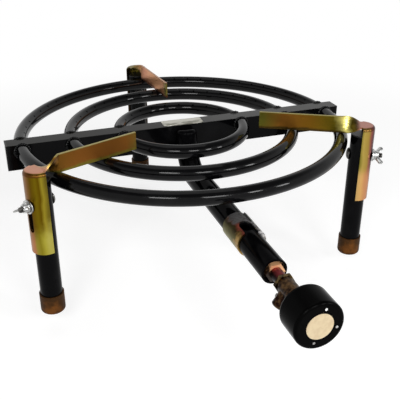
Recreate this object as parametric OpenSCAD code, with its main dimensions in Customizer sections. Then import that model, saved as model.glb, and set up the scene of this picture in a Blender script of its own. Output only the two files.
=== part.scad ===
// Three-ring gas burner on an adjustable tripod, modelled round the ring centre and stood on the floor.

/* [Burner rings] */
// Radius of the outer ring at the middle of its tube
outer_ring_r = 192; // [170:1:240]
// Radius of the middle ring at the middle of its tube
middle_ring_r = 134; // [115:1:150]
// Radius of the inner ring at the middle of its tube
inner_ring_r = 75; // [50:1:90]
// Outside diameter of the ring tube
ring_tube_d = 16; // [12:0.5:20]
// Wall of the ring tube
ring_wall = 2; // [1:0.25:3]
// Diameter of a gas port
port_d = 2.4; // [1.5:0.1:3]
// Distance between gas ports along a ring
port_pitch = 20; // [12:1:40]
// Angle of the ports above the level, towards the ring's middle
port_tilt = 50; // [20:5:70]

/* [Manifold bar] */
// Thickness of the bar from front to back
bar_w = 20; // [16:1:30]
// Height of the bar
bar_h = 30; // [24:1:40]
// Wall of the bar's tube
bar_wall = 2; // [1.5:0.25:3]
// How far each end of the bar stands out past the outer ring
bar_overhang = 10; // [4:1:20]
// How far the bar's top lies below the tops of the rings
bar_recess = 0.25; // [0:0.25:2]
// Thickness of the plates that close the bar's ends
bar_cap_t = 2; // [1:0.5:3]
// Diameter of the holes that feed the rings
feed_d = 9; // [6:0.5:10]

/* [Mixer tube] */
// Outside diameter of the mixer tube
mixer_d = 26; // [23:0.5:30]
// Wall of the mixer tube
mixer_wall = 2; // [1.5:0.25:3]
// Gap between the bar and the top of the mixer tube
mixer_gap = 7; // [2:0.5:14]
// Distance from the ring centre to the mouth of the tube
mixer_reach = 271; // [250:1:330]
// Distance that the tube runs on behind the ring centre
mixer_tail = 22; // [16:1:40]
// Thickness of the plate that closes the tail
mixer_cap_t = 2; // [1:0.5:3]
// Outside diameter of the riser between the tube and the bar
riser_d = 18; // [14:0.5:19]
// Wall of the riser
riser_wall = 2; // [1:0.25:3]

/* [Air shutter] */
// Length of the shutter sleeve
shutter_l = 40; // [36:1:60]
// Thickness of the sleeve
shutter_t = 1.5; // [1:0.25:2.5]
// Distance from the tube's mouth to the front of the sleeve
shutter_set = 53; // [36:1:80]
// Length of the notches that open the front of the sleeve
notch_l = 21; // [18:1:30]
// Width of the notches
notch_w = 14; // [11:0.5:16]
// Length of the air windows in the tube
window_l = 16; // [12:1:18]
// Width of the air windows in the tube
window_w = 11; // [8:0.5:14]
// Rim of the tube between the end of a notch and its window
window_rim = 1.5; // [0:0.25:4]
// Lower edge of the lap where the sleeve's sheet closes, from the right side of the tube
lap_low = -45; // [-60:5:-35]
// Upper edge of the lap, from the right side of the tube
lap_high = 55; // [20:5:60]
// Place of the clamping screw, from the right side of the tube
screw_angle = -20; // [-30:5:10]
// Diameter of the clamping screw's head
shutter_screw_d = 7; // [5:0.5:9]
// Height of the clamping screw's head
shutter_screw_h = 3; // [2:0.5:5]

/* [Gas fittings] */
// Length of the injector holder inside the tube
holder_l = 14; // [10:1:18]
// How deep the holder sits inside the tube's mouth
holder_recess = 8; // [1:0.5:10]
// How far the holder's hexagon stands out of the tube's mouth
holder_stand = 3; // [2:0.5:6]
// Width across the flats of the holder's hexagon
holder_hex = 17; // [15:0.5:19]
// Diameter of the jet
jet_d = 8; // [6:0.5:10]
// Length of the jet
jet_l = 12; // [8:1:16]
// Diameter of the jet's orifice
jet_bore = 1.2; // [0.8:0.1:2]
// Diameter of the gas passage in the fittings
gas_bore = 5; // [4:0.5:6]
// Diameter of the neck between holder and valve
neck_d = 12.5; // [10:0.5:14]
// Length of the neck
neck_l = 20; // [16:1:30]
// Width across the flats of the neck's collar
neck_hex = 18; // [14:0.5:20]
// Length of the neck's collar
neck_collar_l = 4; // [3:0.5:10]
// Diameter of the valve body's barrel
valve_d = 17; // [16:0.5:22]
// Length of the valve body
valve_l = 22; // [20:1:30]
// Thickness of the valve body behind the plug
valve_floor = 4; // [3:0.5:6]
// Diameter of the valve plug
plug_d = 9; // [8:0.5:11]
// Diameter of the spindle in front of the plug
spindle_d = 6; // [5:0.5:7]
// Width across the flats of the gland nut
gland_hex = 15; // [14:0.5:17]
// Height of the gland nut
gland_h = 7; // [5:0.5:9]
// Distance from the back of the valve body to the inlet's axis
inlet_set = 8; // [8:0.5:12]
// Diameter of the boss that takes the gas inlet
inlet_boss_d = 14; // [12:0.5:16]
// How far the inlet boss stands out of the valve's barrel
inlet_boss_l = 1.5; // [0.5:0.5:6]
// Diameter of the inlet nipple's thread
inlet_d = 13.2; // [10:0.1:14]
// Length of the inlet nipple's thread
inlet_l = 6.5; // [5:0.5:16]
// Height of the inlet nipple's hexagon
inlet_hex_h = 2.5; // [2:0.5:6]
// Lean of the inlet to the left of straight down
inlet_lean = 35; // [0:5:60]

/* [Control knob] */
// Diameter of the knob
knob_d = 46; // [40:1:54]
// Length of the knob
knob_l = 31.5; // [24:0.5:36]
// Distance from the valve body to the back of the knob
knob_stand = 9.5; // [9:0.5:18]
// Rounding of the knob's back edge
knob_back_r = 5; // [2:0.5:7]
// Rounding of the knob's front edge
knob_front_r = 3; // [1:0.5:4]
// Thickness of the knob's front wall
knob_face_t = 9; // [7:0.5:12]
// Thickness of the knob's side wall
knob_wall = 4; // [3:0.5:6]
// How far the spindle reaches into the knob's front wall
spindle_grip = 4; // [2:0.5:5]
// Diameter of the hub round the spindle
hub_d = 13; // [11:0.5:16]
// How far the hub starts inside the back of the knob
hub_sink = 2; // [0:0.5:6]
// Diameter of the disc on the knob's face
disc_d = 25; // [20:1:30]
// Thickness of the disc
disc_t = 1.2; // [0.8:0.1:2]
// How far the disc is let into the face
disc_sink = 0.8; // [0.4:0.1:1.5]

/* [Brackets] */
// Height of the arm
arm_h = 20; // [18:1:28]
// Thickness of the bracket's strip
strip_t = 2.5; // [2:0.25:4]
// How far the arm reaches inside the middle ring
arm_overhang = 31; // [15:1:40]
// Length of the quarter twist
twist_l = 22; // [14:1:28]
// Distance from the end of the twist to the leg's axis
twist_set = 2.5; // [2.5:0.5:4]
// Height of the half-round shell
shell_l = 92; // [84:1:120]
// Angle that the shell covers round the leg
shell_wrap = 175; // [120:5:175]
// Outer radius of the bend between plate and shell
bend_r = 4; // [3:0.5:4]
// Distance from the plate's top to the bolt
bolt_drop = 37; // [30:1:44]
// Height range of a leg
leg_travel = 26; // [16:1:30]
// Turn of the left arm about its leg, as it was welded
left_arm_yaw = -9; // [-12:1:12]
// Turn of the right arm about its leg, as it was welded
right_arm_yaw = 1; // [-12:1:12]
// Turn of the rear arm about its leg, as it was welded
rear_arm_yaw = 5; // [-12:1:12]

/* [Legs] */
// Height of the ring centres above the floor
ring_height = 151; // [135:1:190]
// Gap between the outer ring and the leg tubes
leg_gap = 3; // [2:0.5:16]
// Outside diameter of the leg tube
leg_d = 24; // [20:0.5:28]
// Wall of the leg tube
leg_wall = 2; // [1.5:0.25:3]
// Headroom between the leg's plug and the twisted strip
leg_headroom = 2.5; // [2:0.5:8]
// Height of the head of the leg's plug
leg_plug_h = 1.5; // [1:0.25:3]
// Depth of the leg's plug in the tube
leg_plug_l = 10; // [6:1:16]
// Wall of the ferrule foot
foot_wall = 1.5; // [1.2:0.1:4]
// Height of the ferrule foot
foot_h = 23; // [18:1:35]
// Thickness of the foot's sole
sole_t = 4; // [3:0.5:8]
// Rounding of the sole's edge
sole_r = 3.5; // [1:0.25:3.5]

/* [Fasteners] */
// Diameter of the clamping bolt
bolt_d = 6; // [5:0.5:8]
// Diameter of the bolt's domed head
bolt_head_d = 14; // [12:0.5:18]
// Height of the bolt's domed head
bolt_head_h = 3.5; // [2.5:0.25:5]
// How far the bolt stands out of the wing nut
bolt_end = 4; // [2:0.5:8]
// Diameter of the washer
washer_d = 15; // [13:0.5:20]
// Thickness of the washer
washer_t = 1.4; // [1:0.2:2]
// Diameter of the wing nut's base
nut_d = 12; // [10:0.5:14]
// Diameter of the wing nut's outer end
nut_end_d = 9; // [8.5:0.5:11]
// Height of the wing nut's base
nut_h = 6; // [5:0.5:8]
// Distance across the tips of the wings
wing_span = 27; // [24:1:34]
// Height of the wings
wing_h = 11; // [9:0.5:14]
// Rounding of the wings' tips
wing_tip_r = 3.2; // [2:0.2:4]
// Distance from the wing nut's seat to the wings
wing_lift = 1; // [0.5:0.25:2]
// Thickness of a wing
wing_t = 2.2; // [1.5:0.1:3]
// Turn of the wings from level at rest
wing_turn = 25; // [0:5:90]

/* [Clearances] */
// Gap between pieces that slide on each other
slide_gap = 0.3; // [0.25:0.05:0.5]
// Radial gap of a turning fit
turn_gap = 0.06; // [0.03:0.01:0.1]
// Gap between pieces that are fixed together
seat_gap = 0.05; // [0.02:0.01:0.1]
// Gap round a bolt in its hole or slot
bolt_gap = 0.5; // [0.3:0.1:0.8]

/* [Hidden] */
$fn = 64;
// Reach of a cut through everything, and overlap of shapes that are joined or cut
far = 500;
lap = 1;
tube_r = ring_tube_d / 2;
ring_radii = [outer_ring_r, middle_ring_r, inner_ring_r];

// Heights are measured from the plane of the ring centres
bar_l = 2 * (outer_ring_r + tube_r + bar_overhang);
bar_top = tube_r - bar_recess;
bar_bottom = bar_top - bar_h;
mixer_z = bar_bottom - mixer_gap - mixer_d / 2;
mixer_bore = mixer_d - 2 * mixer_wall;
riser_bore = riser_d - 2 * riser_wall;

// Places along the gas line are distances in front of the ring centre
shutter_front = mixer_reach - shutter_set;
shutter_bore = mixer_d + 2 * turn_gap;
shutter_d = shutter_bore + 2 * shutter_t;
window_mid = shutter_front - notch_l + window_rim + window_l / 2;
holder_back = mixer_reach - holder_recess - holder_l;
holder_front = mixer_reach - holder_recess;
neck_back = mixer_reach + holder_stand;
valve_back = neck_back + neck_l;
valve_front = valve_back + valve_l;
plug_back = valve_back + valve_floor;
knob_back = valve_front + knob_stand;
knob_front = knob_back + knob_l;
hub_back = knob_back + hub_sink;
disc_front = knob_front + disc_t - disc_sink;
spindle_front = knob_front - knob_face_t + spindle_grip;
inlet_y = valve_back + inlet_set;
inlet_start = valve_d / 2 + inlet_boss_l;

// The brackets take their places from the rings and the legs
leg_circle_r = outer_ring_r + tube_r + leg_gap + leg_d / 2;
arm_bottom = tube_r + seat_gap;
arm_mid = arm_bottom + arm_h / 2;
arm_inner_r = middle_ring_r - tube_r - arm_overhang;
twist_end_r = leg_circle_r - twist_set;
twist_start_r = twist_end_r - twist_l;
plate_top = arm_mid + strip_t / 2;
plate_bottom = arm_mid - strip_t / 2;
shell_in_r = leg_d / 2 + slide_gap;
shell_out_r = shell_in_r + strip_t;
shell_half = shell_wrap / 2;
bolt_z = plate_top - bolt_drop;
slot_w = bolt_d + 2 * bolt_gap;

// Over the leg, the strip hangs lowest at the tube's inner wall
wall_twist = max(0, min(90, 90 * (leg_circle_r - leg_d / 2 - twist_start_r) / twist_l));
strip_low = arm_mid - (arm_h * cos(wall_twist) + strip_t * sin(wall_twist)) / 2;
leg_top = strip_low - leg_headroom - leg_plug_h;
leg_bottom = sole_t - ring_height;
foot_d = leg_d + 2 * foot_wall;
washer_x = leg_circle_r + shell_out_r + slide_gap;
nut_x = washer_x + washer_t + seat_gap;
bolt_tip_x = nut_x + nut_h + bolt_end;
rear_reach = max(bolt_tip_x, nut_x + wing_h);

// The origin lies on the floor, below the middle of the burner's length
centre_shift = (disc_front - rear_reach) / 2;
left_angle = 210;
right_angle = -30;
rear_angle = 90;

enamel = [0.05, 0.05, 0.055];
zinc = [0.62, 0.5, 0.22];
brass = [0.72, 0.55, 0.28];
steel = [0.75, 0.76, 0.78];
rubber = [0.36, 0.22, 0.12];
plastic = [0.04, 0.04, 0.045];
cream = [0.88, 0.8, 0.6];

// Frames

// From the ring centre to the floor frame
module at_rings() {
  translate([0, centre_shift, ring_height]) children();
}

// +Z of the children points to the front along the gas line, and z is the distance from the ring centre
module on_gas_line() {
  at_rings() translate([0, 0, mixer_z]) rotate([90, 0, 0]) children();
}

// +X of the children points outwards along an arm
module on_arm(angle) {
  at_rings() rotate([0, 0, angle]) children();
}

// +Z of the children points outwards along the bolt of an arm
module on_bolt(angle) {
  on_arm(angle) translate([0, 0, bolt_z]) rotate([0, 90, 0]) children();
}

// Shapes that several pieces share

module ring_tube(d, z0, z1, bore) {
  translate([0, 0, z0]) difference() {
    cylinder(d = d, h = z1 - z0);
    translate([0, 0, -lap]) cylinder(d = bore, h = z1 - z0 + 2 * lap);
  }
}

module hexagon(flats, z0, z1) {
  translate([0, 0, z0]) cylinder(d = flats / cos(30), h = z1 - z0, $fn = 6);
}

// A slot with round ends along X, cut along Z
module obround(l, w, h) {
  translate([-(l - w) / 2, -w / 2, 0]) cube([l - w, w, h]);
  for (side = [-1, 1]) translate([side * (l - w) / 2, 0, 0]) cylinder(d = w, h = h);
}

// A quarter of a rounded rectangle from the axis, with one rounded outer corner
module rounded_profile(r, h, corner) {
  square([r, h - corner]);
  square([r - corner, h]);
  translate([r - corner, h - corner]) circle(corner);
}

// Rings and bar

// One half ring, from side to side of the bar, with its row of ports
module half_ring(r, start) {
  ports = floor((PI * r - bar_w - 2 * port_pitch) / port_pitch);
  step = 180 * port_pitch / (PI * r);
  color(enamel) at_rings() difference() {
    rotate([0, 0, start]) rotate_extrude(angle = 180) translate([r, 0]) difference() {
      circle(tube_r);
      circle(tube_r - ring_wall);
    }
    translate([-far, -bar_w / 2, -far]) cube([2 * far, bar_w, 2 * far]);
    for (i = [0:ports]) rotate([0, 0, start + 90 + (i - ports / 2) * step])
      translate([r, 0, 0]) rotate([0, port_tilt - 90, 0]) cylinder(d = port_d, h = tube_r + lap);
  }
}

module outer_ring_front() { half_ring(outer_ring_r, 180); }
module outer_ring_rear() { half_ring(outer_ring_r, 0); }
module middle_ring_front() { half_ring(middle_ring_r, 180); }
module middle_ring_rear() { half_ring(middle_ring_r, 0); }
module inner_ring_front() { half_ring(inner_ring_r, 180); }
module inner_ring_rear() { half_ring(inner_ring_r, 0); }

module manifold_bar() {
  tube_l = bar_l - 2 * bar_cap_t;
  color(enamel) at_rings() difference() {
    translate([-tube_l / 2, -bar_w / 2, bar_bottom]) cube([tube_l, bar_w, bar_h]);
    translate([-tube_l / 2 - lap, -bar_w / 2 + bar_wall, bar_bottom + bar_wall])
      cube([tube_l + 2 * lap, bar_w - 2 * bar_wall, bar_h - 2 * bar_wall]);
    for (r = ring_radii) for (side = [-1, 1])
      translate([side * sqrt(pow(r, 2) - pow(bar_w / 2, 2)), bar_w, 0]) rotate([90, 0, 0])
        cylinder(d = feed_d, h = 2 * bar_w);
    translate([0, 0, bar_bottom - lap]) cylinder(d = riser_bore, h = bar_wall + 2 * lap);
  }
}

module bar_end_caps() {
  color(enamel) at_rings() for (side = [0, 1]) mirror([side, 0, 0])
    translate([bar_l / 2 - bar_cap_t, -bar_w / 2, bar_bottom]) cube([bar_cap_t, bar_w, bar_h]);
}

// Mixer tube and air shutter

module riser() {
  color(enamel) difference() {
    at_rings() ring_tube(riser_d, mixer_z, bar_bottom, riser_bore);
    on_gas_line() translate([0, 0, -far / 2]) cylinder(d = mixer_d + 2 * seat_gap, h = far);
  }
}

// A slot along the gas line, cut through the top and the bottom
module slot_through(mid, l, w) {
  translate([0, far / 2, mid]) rotate([90, 0, 0]) rotate([0, 0, 90]) obround(l, w, far);
}

module mixer_tube() {
  color(enamel) on_gas_line() difference() {
    ring_tube(mixer_d, -mixer_tail, mixer_reach, mixer_bore);
    rotate([-90, 0, 0]) cylinder(d = riser_bore, h = mixer_d);
    slot_through(window_mid, window_l, window_w);
  }
}

module mixer_end_cap() {
  color(enamel) on_gas_line() translate([0, 0, -mixer_tail - mixer_cap_t])
    cylinder(d = mixer_d, h = mixer_cap_t);
}

// A rolled sheet whose ends lap on the right side
module air_shutter() {
  color(zinc) on_gas_line() difference() {
    union() {
      ring_tube(shutter_d, shutter_front - shutter_l, shutter_front, shutter_bore);
      translate([0, 0, shutter_front - shutter_l]) rotate([0, 0, lap_low])
        rotate_extrude(angle = lap_high - lap_low) translate([shutter_d / 2 - shutter_t / 2, 0])
          square([shutter_t * 3 / 2, shutter_l]);
    }
    slot_through(shutter_front, 2 * notch_l, notch_w);
    on_shutter_screw() cylinder(d = shutter_screw_d / 2 + 2 * seat_gap, h = shutter_d);
  }
}

// The screw stands out of the lap, halfway along the sleeve
module on_shutter_screw() {
  translate([0, 0, shutter_front - shutter_l / 2]) rotate([0, 0, screw_angle]) rotate([0, 90, 0]) children();
}

module shutter_screw() {
  head_z = shutter_d / 2 + shutter_t + seat_gap;
  stem_z = shutter_bore / 2 + slide_gap;
  driver_w = shutter_screw_d / 7;
  color(brass) on_gas_line() on_shutter_screw() {
    translate([0, 0, stem_z]) cylinder(d = shutter_screw_d / 2, h = head_z + lap - stem_z);
    difference() {
      translate([0, 0, head_z]) cylinder(d = shutter_screw_d, h = shutter_screw_h);
      translate([-shutter_screw_d, -driver_w / 2, head_z + shutter_screw_h / 2])
        cube([2 * shutter_screw_d, driver_w, shutter_screw_h]);
    }
  }
}

// Gas fittings

module injector_holder() {
  color(brass) on_gas_line() difference() {
    union() {
      translate([0, 0, holder_back]) cylinder(d = mixer_bore - 2 * seat_gap, h = holder_l);
      hexagon(holder_hex, holder_front, neck_back);
    }
    translate([0, 0, holder_back - lap]) cylinder(d = gas_bore, h = far);
  }
}

module injector_jet() {
  tip_l = jet_l / 3;
  color(brass) on_gas_line() difference() {
    union() {
      translate([0, 0, holder_back - jet_l]) cylinder(d1 = jet_d / 2, d2 = jet_d, h = tip_l);
      hexagon(jet_d, holder_back - jet_l + tip_l, holder_back);
      translate([0, 0, holder_back]) cylinder(d = gas_bore - 2 * seat_gap, h = holder_l / 2);
    }
    translate([0, 0, holder_back - jet_l - lap]) cylinder(d = jet_bore, h = jet_l);
    translate([0, 0, holder_back - jet_l / 2]) cylinder(d = gas_bore / 2, h = holder_l);
  }
}

module neck() {
  color(brass) on_gas_line() difference() {
    union() {
      translate([0, 0, neck_back]) cylinder(d = neck_d, h = neck_l);
      hexagon(neck_hex, valve_back - neck_collar_l, valve_back);
    }
    translate([0, 0, neck_back - lap]) cylinder(d = gas_bore, h = neck_l + 2 * lap);
  }
}

// +Z of the children points out of the gas inlet
module on_inlet() {
  translate([0, 0, inlet_y]) rotate([0, 0, -inlet_lean]) rotate([90, 0, 0]) children();
}

module valve_body() {
  color(brass) on_gas_line() difference() {
    union() {
      translate([0, 0, valve_back]) cylinder(d = valve_d, h = valve_l);
      on_inlet() cylinder(d = inlet_boss_d, h = inlet_start);
    }
    translate([0, 0, plug_back]) cylinder(d = plug_d + 2 * turn_gap, h = far);
    translate([0, 0, valve_back - lap]) cylinder(d = gas_bore, h = valve_l);
    on_inlet() cylinder(d = gas_bore, h = inlet_start + lap);
  }
}

module inlet_nipple() {
  thread_start = inlet_start + inlet_hex_h;
  chamfer = inlet_d / 12;
  thread_l = inlet_l - chamfer;
  color(brass) on_gas_line() on_inlet() difference() {
    union() {
      hexagon(inlet_boss_d, inlet_start, thread_start);
      translate([0, 0, thread_start]) {
        cylinder(d = inlet_d, h = thread_l);
        translate([0, 0, thread_l]) cylinder(d1 = inlet_d, d2 = inlet_d - 2 * chamfer, h = chamfer);
      }
    }
    translate([0, 0, inlet_start - lap]) cylinder(d = gas_bore, h = far);
  }
}

module gland_nut() {
  color(brass) on_gas_line() difference() {
    hexagon(gland_hex, valve_front, valve_front + gland_h);
    translate([0, 0, valve_front - lap]) cylinder(d = spindle_d + 2 * turn_gap, h = gland_h + 2 * lap);
  }
}

// The plug's passage joins its back end to the inlet
module valve_spindle() {
  plug_end = plug_back + slide_gap;
  color(brass) on_gas_line() difference() {
    translate([0, 0, plug_end]) {
      cylinder(d = plug_d, h = valve_front - slide_gap - plug_end);
      cylinder(d = spindle_d, h = spindle_front - plug_end);
    }
    translate([0, 0, plug_back]) cylinder(d = gas_bore / 2, h = inlet_y - plug_back);
    on_inlet() cylinder(d = gas_bore / 2, h = plug_d);
  }
}

// Control knob

module control_knob() {
  inner_r = knob_d / 2 - knob_wall;
  face_in = knob_front - knob_face_t;
  color(plastic) on_gas_line() difference() {
    union() {
      difference() {
        knob_blank();
        translate([0, 0, knob_back - lap]) cylinder(r = inner_r, h = face_in - knob_back + lap);
      }
      translate([0, 0, hub_back]) cylinder(d = hub_d, h = face_in + lap - hub_back);
    }
    translate([0, 0, knob_back])
      cylinder(d = spindle_d + 2 * seat_gap, h = spindle_front + seat_gap - knob_back);
    translate([0, 0, knob_front - disc_sink]) cylinder(d = disc_d + 2 * seat_gap, h = knob_l);
  }
}

module knob_blank() {
  half_l = knob_l / 2;
  translate([0, 0, knob_back + half_l]) {
    rotate_extrude() rounded_profile(knob_d / 2, half_l, knob_front_r);
    mirror([0, 0, 1]) rotate_extrude() rounded_profile(knob_d / 2, half_l, knob_back_r);
  }
}

module knob_disc() {
  edge_r = disc_t - disc_sink;
  color(cream) on_gas_line() translate([0, 0, knob_front - disc_sink + seat_gap])
    rotate_extrude() rounded_profile(disc_d / 2, disc_t - seat_gap, edge_r);
}

// Brackets

// A flat strip: on edge over the rings, a quarter twist, flat over the leg, then a half-round shell
module bracket(angle, yaw) {
  color(zinc) on_arm(angle) difference() {
    union() {
      about_leg(yaw) arm();
      translate([leg_circle_r, 0, plate_top - shell_l]) rotate([0, 0, -shell_half])
        rotate_extrude(angle = shell_wrap) shell_profile();
    }
    height_slot();
  }
}

module about_leg(yaw) {
  translate([leg_circle_r, 0, 0]) rotate([0, 0, yaw]) translate([-leg_circle_r, 0, 0]) children();
}

module arm() {
  translate([arm_inner_r, -strip_t / 2, arm_bottom]) cube([twist_start_r - arm_inner_r, strip_t, arm_h]);
  translate([twist_start_r, 0, arm_mid]) rotate([0, 90, 0])
    linear_extrude(height = twist_l, twist = 90, slices = 16, segments = 12)
      square([arm_h, strip_t], center = true);
  translate([twist_end_r, -arm_h / 2, plate_bottom]) cube([2 * twist_set, arm_h, strip_t]);
}

module shell_profile() {
  difference() {
    rounded_profile(shell_out_r, shell_l, bend_r);
    translate([0, -strip_t]) rounded_profile(shell_in_r, shell_l, bend_r - strip_t);
  }
}

module height_slot() {
  translate([leg_circle_r, 0, bolt_z - leg_travel / 2 - bolt_gap / 2]) rotate([0, 90, 0])
    obround(leg_travel + bolt_gap + slot_w, slot_w, far);
}

module left_bracket() { bracket(left_angle, left_arm_yaw); }
module right_bracket() { bracket(right_angle, right_arm_yaw); }
module rear_bracket() { bracket(rear_angle, rear_arm_yaw); }

// Legs

module leg(angle) {
  color(enamel) difference() {
    on_arm(angle) translate([leg_circle_r, 0, 0])
      ring_tube(leg_d, leg_bottom, leg_top, leg_d - 2 * leg_wall);
    on_bolt(angle) cylinder(d = bolt_d + 2 * seat_gap, h = far);
  }
}

module leg_plug(angle) {
  color(plastic) on_arm(angle) translate([leg_circle_r, 0, leg_top]) {
    rotate_extrude() rounded_profile(leg_d / 2, leg_plug_h, leg_plug_h / 2);
    translate([0, 0, -leg_plug_l]) cylinder(d = leg_d - 2 * leg_wall - 2 * seat_gap, h = leg_plug_l);
  }
}

module foot(angle) {
  color(rubber) on_arm(angle) translate([leg_circle_r, 0, -ring_height]) difference() {
    translate([0, 0, foot_h]) mirror([0, 0, 1])
      rotate_extrude() rounded_profile(foot_d / 2, foot_h, sole_r);
    translate([0, 0, sole_t]) cylinder(d = leg_d + 2 * seat_gap, h = foot_h);
  }
}

module left_leg() { leg(left_angle); }
module right_leg() { leg(right_angle); }
module rear_leg() { leg(rear_angle); }
module left_leg_plug() { leg_plug(left_angle); }
module right_leg_plug() { leg_plug(right_angle); }
module rear_leg_plug() { leg_plug(rear_angle); }
module left_foot() { foot(left_angle); }
module right_foot() { foot(right_angle); }
module rear_foot() { foot(rear_angle); }

// Fasteners

// The domed head lies against the inner side of the leg
module bolt(angle) {
  seat_x = leg_circle_r - leg_d / 2 - seat_gap;
  dome_r = (pow(bolt_head_d / 2, 2) + pow(bolt_head_h, 2)) / (2 * bolt_head_h);
  color(steel) on_bolt(angle) {
    translate([0, 0, seat_x - lap]) cylinder(d = bolt_d, h = bolt_tip_x - seat_x + lap);
    intersection() {
      translate([0, 0, seat_x - bolt_head_h]) cylinder(d = bolt_head_d, h = bolt_head_h);
      translate([0, 0, seat_x - bolt_head_h + dome_r]) sphere(dome_r);
    }
  }
}

module washer(angle) {
  color(steel) on_bolt(angle) ring_tube(washer_d, washer_x, washer_x + washer_t, bolt_d + 2 * seat_gap);
}

module wing_nut(angle) {
  color(steel) on_bolt(angle) translate([0, 0, nut_x]) rotate([0, 0, 90 + wing_turn]) difference() {
    union() {
      cylinder(d1 = nut_d, d2 = nut_end_d, h = nut_h);
      for (side = [0, 180]) rotate([0, 0, side]) rotate([90, 0, 0])
        translate([0, 0, -wing_t / 2]) linear_extrude(wing_t) wing_outline();
    }
    translate([0, 0, -lap]) cylinder(d = bolt_d + 2 * turn_gap, h = nut_h + wing_h);
  }
}

// One wing from inside the nut's wall to its round tip
module wing_outline() {
  root_r = (bolt_d + nut_end_d) / 4;
  tip = [wing_span / 2 - wing_tip_r, wing_h - wing_tip_r];
  polygon([
    [root_r, wing_lift], [nut_d / 2, wing_lift], tip + [wing_tip_r, 0], tip + [0, wing_tip_r],
    [nut_end_d / 2, nut_h], [root_r, nut_h]
  ]);
  translate(tip) circle(wing_tip_r);
}

module left_bolt() { bolt(left_angle); }
module right_bolt() { bolt(right_angle); }
module rear_bolt() { bolt(rear_angle); }
module left_washer() { washer(left_angle); }
module right_washer() { washer(right_angle); }
module rear_washer() { washer(rear_angle); }
module left_wing_nut() { wing_nut(left_angle); }
module right_wing_nut() { wing_nut(right_angle); }
module rear_wing_nut() { wing_nut(rear_angle); }

manifold_bar();
bar_end_caps();
outer_ring_front();
outer_ring_rear();
middle_ring_front();
middle_ring_rear();
inner_ring_front();
inner_ring_rear();
riser();
mixer_tube();
mixer_end_cap();
air_shutter();
shutter_screw();
injector_holder();
injector_jet();
neck();
valve_body();
inlet_nipple();
gland_nut();
valve_spindle();
control_knob();
knob_disc();
left_bracket();
right_bracket();
rear_bracket();
left_leg();
right_leg();
rear_leg();
left_leg_plug();
right_leg_plug();
rear_leg_plug();
left_foot();
right_foot();
rear_foot();
left_bolt();
right_bolt();
rear_bolt();
left_washer();
right_washer();
rear_washer();
left_wing_nut();
right_wing_nut();
rear_wing_nut();
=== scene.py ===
import math

import bmesh
import bpy
import numpy as np
from mathutils import Matrix, Vector


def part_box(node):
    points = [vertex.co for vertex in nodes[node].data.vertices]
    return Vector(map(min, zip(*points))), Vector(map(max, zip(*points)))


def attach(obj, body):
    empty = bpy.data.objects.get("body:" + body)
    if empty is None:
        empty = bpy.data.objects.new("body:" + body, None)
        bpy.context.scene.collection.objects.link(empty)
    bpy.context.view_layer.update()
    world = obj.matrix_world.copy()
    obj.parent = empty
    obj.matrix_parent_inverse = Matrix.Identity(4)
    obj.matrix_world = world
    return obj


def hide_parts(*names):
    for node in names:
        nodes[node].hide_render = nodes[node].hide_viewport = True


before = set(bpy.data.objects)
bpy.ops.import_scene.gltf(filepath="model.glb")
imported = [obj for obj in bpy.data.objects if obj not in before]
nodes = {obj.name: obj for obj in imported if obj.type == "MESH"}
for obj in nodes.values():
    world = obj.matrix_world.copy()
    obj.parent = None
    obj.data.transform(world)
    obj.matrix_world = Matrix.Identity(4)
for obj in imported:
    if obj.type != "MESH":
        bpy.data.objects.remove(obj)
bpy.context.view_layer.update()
scene = bpy.context.scene
mm = 0.001


def middle(node):
    low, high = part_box(node)
    return (low + high) / 2


# places that several pieces share, read from the solids
ringCentre = Vector((0, middle("manifold_bar").y, middle("outer_ring_front").z))
gasAxis = middle("mixer_tube")
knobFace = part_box("control_knob")[0].y
barLow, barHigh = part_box("manifold_bar")
arms = {"left": 210, "right": -30, "rear": 90}  # degrees round the ring centre
legAxis = {side: middle(f"{side}_leg") for side in arms}


# shader expressions
class Wire:
    # one shader output; arithmetic between wires and numbers adds Math nodes
    def __init__(self, shading, socket):
        self.shading = shading
        self.socket = socket

    def maths(self, operation, *values):
        return self.shading.node("Math", {"operation": operation}, dict(enumerate(values)))

    def __add__(self, other):
        return self.maths("ADD", self, other)

    def __radd__(self, other):
        return self.maths("ADD", other, self)

    def __sub__(self, other):
        return self.maths("SUBTRACT", self, other)

    def __rsub__(self, other):
        return self.maths("SUBTRACT", other, self)

    def __mul__(self, other):
        return self.maths("MULTIPLY", self, other)

    def __rmul__(self, other):
        return self.maths("MULTIPLY", other, self)

    def __truediv__(self, other):
        return self.maths("DIVIDE", self, other)

    def step(self, low, high):
        # 0 below low, 1 above high, smooth between
        settings = {"interpolation_type": "SMOOTHSTEP", "clamp": True}
        inputs = {"Value": self, "From Min": low, "From Max": high}
        return self.shading.node("MapRange", settings, inputs)


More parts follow.
